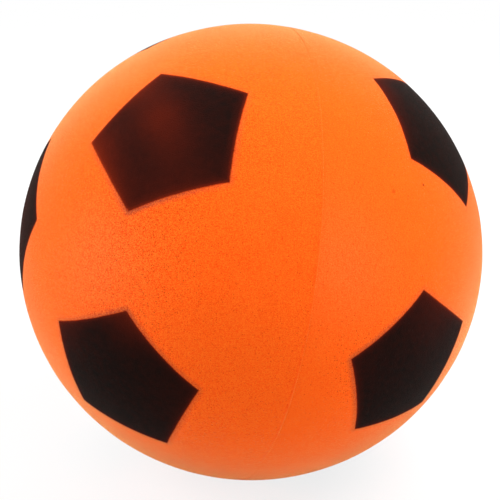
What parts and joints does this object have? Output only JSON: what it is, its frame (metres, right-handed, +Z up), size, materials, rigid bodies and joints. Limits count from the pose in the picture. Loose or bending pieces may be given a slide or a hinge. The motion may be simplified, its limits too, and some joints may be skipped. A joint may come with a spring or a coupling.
{
  "type": "foam soccer ball",
  "caption": "Soft solid foam toy ball glued from halves, orange with sprayed black pentagons in the common soccer pattern, for kicking and throwing indoors.",
  "frame": {"origin": "centre of the ball, in the middle of the glued seam plane", "axes": "+Z up from the contact flat; +X towards the right half's side, near that half's pole; +Y away from the side the picture shows"},
  "size_m": [0.203, 0.2, 0.1995],
  "materials": {
    "foam": "matte",
    "paint": "matte",
    "glue": "matte"
  },
  "bodies": {
    "root": {"foam_half_left": "foam", "foam_half_right": "foam", "glue_seam": "glue", "paint_left_pole": "paint", "paint_left_ring_1": "paint", "paint_left_ring_2": "paint", "paint_left_ring_3": "paint", "paint_left_ring_4": "paint", "paint_left_ring_5": "paint", "paint_right_pole": "paint", "paint_right_ring_1": "paint", "paint_right_ring_2": "paint", "paint_right_ring_3": "paint", "paint_right_ring_4": "paint", "paint_right_ring_5": "paint"}
  },
  "joints": []
}
